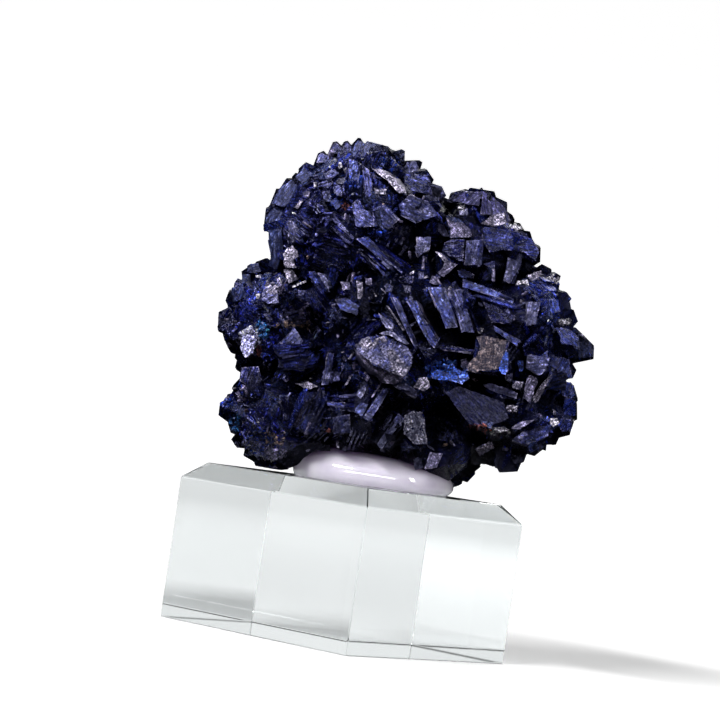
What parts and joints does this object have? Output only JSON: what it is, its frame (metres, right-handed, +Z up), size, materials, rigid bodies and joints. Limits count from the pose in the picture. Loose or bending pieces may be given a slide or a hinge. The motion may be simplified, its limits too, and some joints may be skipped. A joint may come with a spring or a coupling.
{
  "type": "azurite mineral specimen on display base",
  "caption": "Cluster of deep blue bladed azurite crystals grown in rounded rosettes, bedded in white putty on a square clear acrylic block that stands it up for display.",
  "frame": {"origin": "the middle of the block's flat underside", "axes": "+Z up. The display side of the crystals faces -Y and +X is to the viewer's right. The square block is turned 49.7 degrees about Z, so that one of its upright edges points at the viewer."},
  "size_m": [0.0608, 0.0538, 0.0783],
  "materials": {
    "azurite": "glossy crystal faces, some frosted",
    "putty": "smooth, slightly wet gloss",
    "acrylic": "clear polished acrylic"
  },
  "bodies": {
    "root": {"azurite_cluster": "azurite", "mounting_putty": "putty", "acrylic_base": "acrylic"}
  },
  "joints": []
}
